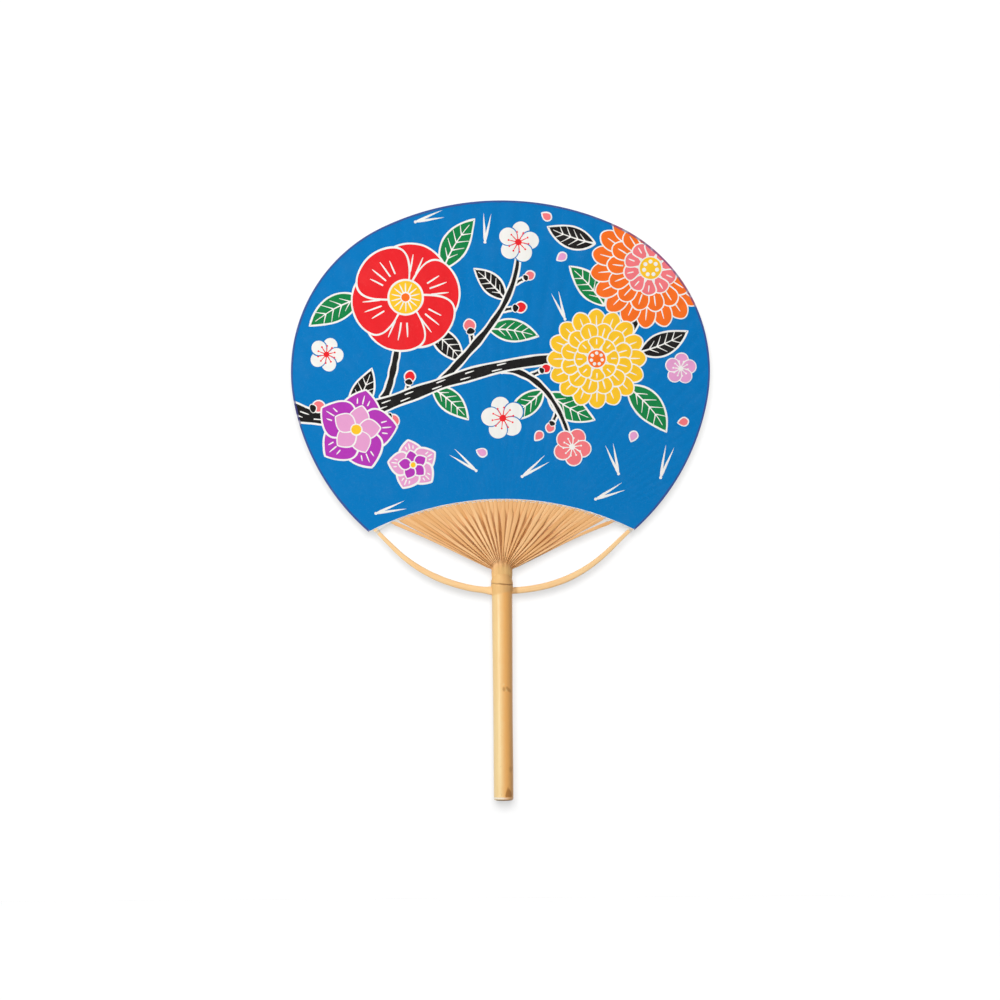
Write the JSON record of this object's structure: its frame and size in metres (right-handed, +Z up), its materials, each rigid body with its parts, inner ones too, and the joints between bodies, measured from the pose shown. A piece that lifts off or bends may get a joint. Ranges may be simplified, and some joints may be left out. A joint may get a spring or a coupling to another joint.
{
  "type": "round paper fan",
  "caption": "Round rigid hand fan with a printed paper leaf on split bamboo ribs, a bent bow through the handle and a slim round bamboo grip.",
  "frame": {"origin": "centre of the handle's lower end, with the fan held upright", "axes": "+Z up along the handle to the crown of the leaf, -Y out of the printed face, +X to the viewer's right"},
  "size_m": [0.2514, 0.0128, 0.36],
  "materials": {
    "bamboo_culm": "glossy natural skin",
    "plug_wood": "matte end grain",
    "split_bamboo": "satin split fibres",
    "lacing_thread": "matte twisted cotton",
    "front_paper": "matte printed",
    "back_paper": "matte plain",
    "binding_paper": "matte"
  },
  "bodies": {
    "root": {"handle_culm": "bamboo_culm", "handle_plug": "plug_wood", "bow": "split_bamboo", "upper_lacing_thread": "lacing_thread", "lower_lacing_thread": "lacing_thread", "front_paper": "front_paper", "back_paper": "back_paper", "edge_binding": "binding_paper", "front_rib_01": "split_bamboo", "front_rib_02": "split_bamboo", "front_rib_03": "split_bamboo", "front_rib_04": "split_bamboo", "front_rib_05": "split_bamboo", "front_rib_06": "split_bamboo", "front_rib_07": "split_bamboo", "front_rib_08": "split_bamboo", "front_rib_09": "split_bamboo", "front_rib_10": "split_bamboo", "front_rib_11": "split_bamboo", "front_rib_12": "split_bamboo", "front_rib_13": "split_bamboo", "front_rib_14": "split_bamboo", "front_rib_15": "split_bamboo", "front_rib_16": "split_bamboo", "front_rib_17": "split_bamboo", "front_rib_18": "split_bamboo", "front_rib_19": "split_bamboo", "front_rib_20": "split_bamboo", "front_rib_21": "split_bamboo", "front_rib_22": "split_bamboo", "front_rib_23": "split_bamboo", "front_rib_24": "split_bamboo", "back_rib_01": "split_bamboo", "back_rib_02": "split_bamboo", "back_rib_03": "split_bamboo", "back_rib_04": "split_bamboo", "back_rib_05": "split_bamboo", "back_rib_06": "split_bamboo", "back_rib_07": "split_bamboo", "back_rib_08": "split_bamboo", "back_rib_09": "split_bamboo", "back_rib_10": "split_bamboo", "back_rib_11": "split_bamboo", "back_rib_12": "split_bamboo", "back_rib_13": "split_bamboo", "back_rib_14": "split_bamboo", "back_rib_15": "split_bamboo", "back_rib_16": "split_bamboo", "back_rib_17": "split_bamboo", "back_rib_18": "split_bamboo", "back_rib_19": "split_bamboo", "back_rib_20": "split_bamboo", "back_rib_21": "split_bamboo", "back_rib_22": "split_bamboo", "back_rib_23": "split_bamboo", "back_rib_24": "split_bamboo"}
  },
  "joints": []
}
